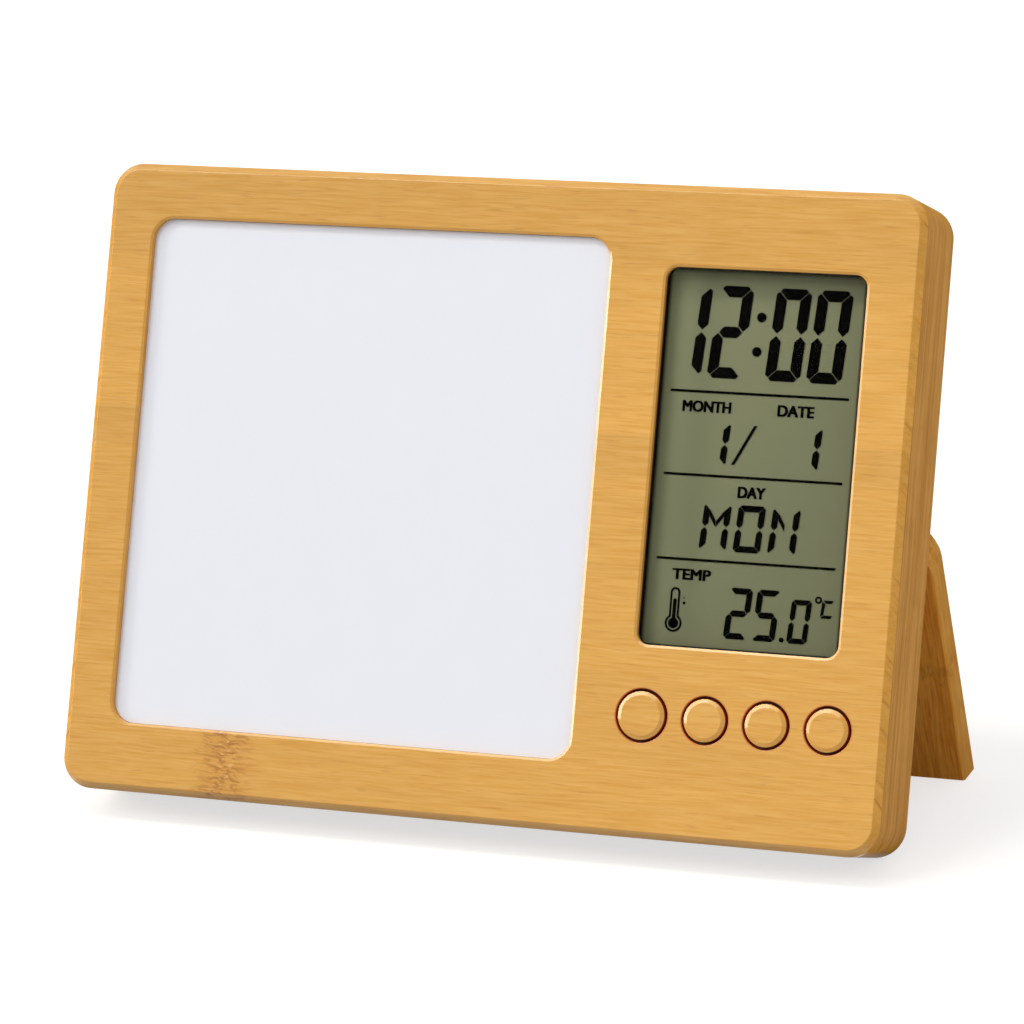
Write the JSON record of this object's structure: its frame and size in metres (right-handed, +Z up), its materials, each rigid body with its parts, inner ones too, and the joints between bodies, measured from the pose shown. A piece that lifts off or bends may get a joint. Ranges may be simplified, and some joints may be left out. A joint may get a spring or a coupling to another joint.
{
  "type": "desk clock",
  "caption": "Leaning bamboo desk clock with a white memo panel, a liquid crystal display, push buttons and a folding prop leg.",
  "frame": {"origin": "middle of the footprint, on the table that the board's lower back edge and the leg's foot stand on", "axes": "+X to the viewer's right along the board, +Y away from the viewer, +Z up; the face looks towards -Y"},
  "size_m": [0.19, 0.0815, 0.1395],
  "materials": {
    "bamboo": "satin lacquered bamboo",
    "white_panel": "smooth dry-wipe coating",
    "tape": "adhesive foam",
    "clear_lens": "clear acrylic",
    "clear_film": "polarising film",
    "display_glass": "polished glass",
    "segments": "dark liquid crystal",
    "reflector": "grey-green reflective film",
    "black_plastic": "fine moulded grain",
    "grey_plastic": "moulded",
    "elastomer": "striped conductive rubber",
    "circuit_board": "green solder mask",
    "sensor": "epoxy bead",
    "steel": "zinc plated",
    "bright_metal": "nickel plated",
    "cell_sleeve": null
  },
  "bodies": {
    "board": {"front_ply": "bamboo", "middle_ply": "bamboo", "back_ply": "bamboo", "memo_panel": "white_panel", "panel_tape": "tape", "display_lens": "clear_lens", "front_polariser": "clear_film", "lcd_front_glass": "display_glass", "lcd_rear_glass": "display_glass", "lcd_segments": "segments", "rear_reflector": "reflector", "display_holder": "black_plastic", "switch_bodies": "black_plastic", "buzzer": "black_plastic", "battery_box": "black_plastic", "clock_chip": "black_plastic", "spacer_posts": "grey_plastic", "contact_strips": "elastomer", "circuit_board": "circuit_board", "temperature_sensor": "sensor", "module_screws": "steel", "battery_box_screws": "steel", "bracket_screws": "steel", "hinge_bracket_left": "steel", "hinge_bracket_right": "steel", "crystal": "bright_metal", "battery_contacts": "bright_metal", "battery_1": "cell_sleeve", "battery_2": "cell_sleeve"},
    "button_1": {"button_1_cap": "bamboo", "button_1_plunger": "grey_plastic", "switch_1_actuator": "grey_plastic"},
    "button_2": {"button_2_cap": "bamboo", "button_2_plunger": "grey_plastic", "switch_2_actuator": "grey_plastic"},
    "button_3": {"button_3_cap": "bamboo", "button_3_plunger": "grey_plastic", "switch_3_actuator": "grey_plastic"},
    "button_4": {"button_4_cap": "bamboo", "button_4_plunger": "grey_plastic", "switch_4_actuator": "grey_plastic"},
    "battery_door": {"battery_door": "black_plastic"},
    "leg": {"leg": "bamboo", "hinge_pin_left": "steel", "hinge_pin_right": "steel", "pin_plugs": "bamboo"}
  },
  "joints": [
    {"name": "button_1_press", "type": "slide", "parent": "board", "child": "button_1", "axis": [0, 0.9373, -0.3486], "range_m": [0, 0.0005], "stiffness_N_per_m": 1500, "springref_m": -0.0003},
    {"name": "button_2_press", "type": "slide", "parent": "board", "child": "button_2", "axis": [0, 0.9373, -0.3486], "range_m": [0, 0.0005], "stiffness_N_per_m": 1500, "springref_m": -0.0003},
    {"name": "button_3_press", "type": "slide", "parent": "board", "child": "button_3", "axis": [0, 0.9373, -0.3486], "range_m": [0, 0.0005], "stiffness_N_per_m": 1500, "springref_m": -0.0003},
    {"name": "button_4_press", "type": "slide", "parent": "board", "child": "button_4", "axis": [0, 0.9373, -0.3486], "range_m": [0, 0.0005], "stiffness_N_per_m": 1500, "springref_m": -0.0003},
    {"name": "leg_fold", "type": "hinge", "parent": "board", "child": "leg", "pos_m": [0, 0.00907, 0.06358], "axis": [1, 0, 0], "range_deg": [-43.5, 0]},
    {"name": "battery_door_hinge", "type": "hinge", "parent": "board", "child": "battery_door", "pos_m": [0.0605, 0.02182, 0.10877], "axis": [1, 0, 0], "range_deg": [0, 95]}
  ]
}
